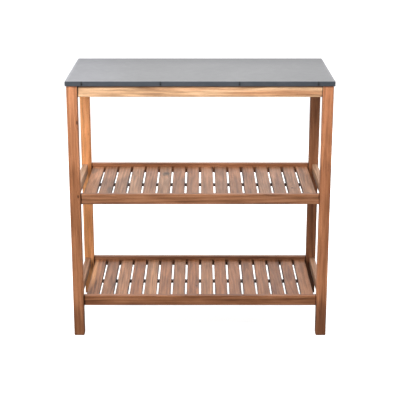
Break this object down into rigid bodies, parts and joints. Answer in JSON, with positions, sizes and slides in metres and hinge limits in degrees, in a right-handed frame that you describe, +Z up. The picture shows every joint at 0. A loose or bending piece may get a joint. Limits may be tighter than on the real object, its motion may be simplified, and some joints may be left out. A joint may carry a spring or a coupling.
{
  "type": "potting bench",
  "caption": "Potting bench with a folded metal worktop on square acacia legs and two slatted shelves below.",
  "frame": {"origin": "on the floor under the middle of the worktop", "axes": "+X to the right along the long side, +Y to the back, +Z up; the front faces -Y"},
  "size_m": [0.8, 0.4, 0.812],
  "materials": {
    "zinc_sheet": "matt zinc-coated sheet, folded",
    "core_board": "plain sawn board",
    "acacia_frame": "oiled, satin",
    "acacia_slats": "oiled, satin",
    "beech_dowels": "plain",
    "steel_fixings": "zinc plated"
  },
  "bodies": {
    "root": {"apron_back": "acacia_frame", "apron_front": "acacia_frame", "apron_left": "acacia_frame", "apron_right": "acacia_frame", "barrel_nuts": "steel_fixings", "frame_bolts": "steel_fixings", "leg_back_left": "acacia_frame", "leg_back_right": "acacia_frame", "leg_front_left": "acacia_frame", "leg_front_right": "acacia_frame", "lower_centre_bar": "acacia_frame", "lower_rail_back": "acacia_frame", "lower_rail_front": "acacia_frame", "lower_rail_left": "acacia_frame", "lower_rail_right": "acacia_frame", "lower_slat_01": "acacia_slats", "lower_slat_02": "acacia_slats", "lower_slat_03": "acacia_slats", "lower_slat_04": "acacia_slats", "lower_slat_05": "acacia_slats", "lower_slat_06": "acacia_slats", "lower_slat_07": "acacia_slats", "lower_slat_08": "acacia_slats", "lower_slat_09": "acacia_slats", "lower_slat_10": "acacia_slats", "lower_slat_11": "acacia_slats", "lower_slat_12": "acacia_slats", "lower_slat_13": "acacia_slats", "lower_slat_14": "acacia_slats", "lower_slat_15": "acacia_slats", "lower_slat_16": "acacia_slats", "mid_centre_bar": "acacia_frame", "mid_rail_back": "acacia_frame", "mid_rail_front": "acacia_frame", "mid_rail_left": "acacia_frame", "mid_rail_right": "acacia_frame", "mid_slat_01": "acacia_slats", "mid_slat_02": "acacia_slats", "mid_slat_03": "acacia_slats", "mid_slat_04": "acacia_slats", "mid_slat_05": "acacia_slats", "mid_slat_06": "acacia_slats", "mid_slat_07": "acacia_slats", "mid_slat_08": "acacia_slats", "mid_slat_09": "acacia_slats", "mid_slat_10": "acacia_slats", "mid_slat_11": "acacia_slats", "mid_slat_12": "acacia_slats", "mid_slat_13": "acacia_slats", "mid_slat_14": "acacia_slats", "mid_slat_15": "acacia_slats", "mid_slat_16": "acacia_slats", "side_dowels": "beech_dowels", "slat_screws": "steel_fixings", "top_board": "core_board", "top_edge_nails": "steel_fixings", "top_screws": "steel_fixings", "top_sheet": "zinc_sheet"}
  },
  "joints": []
}
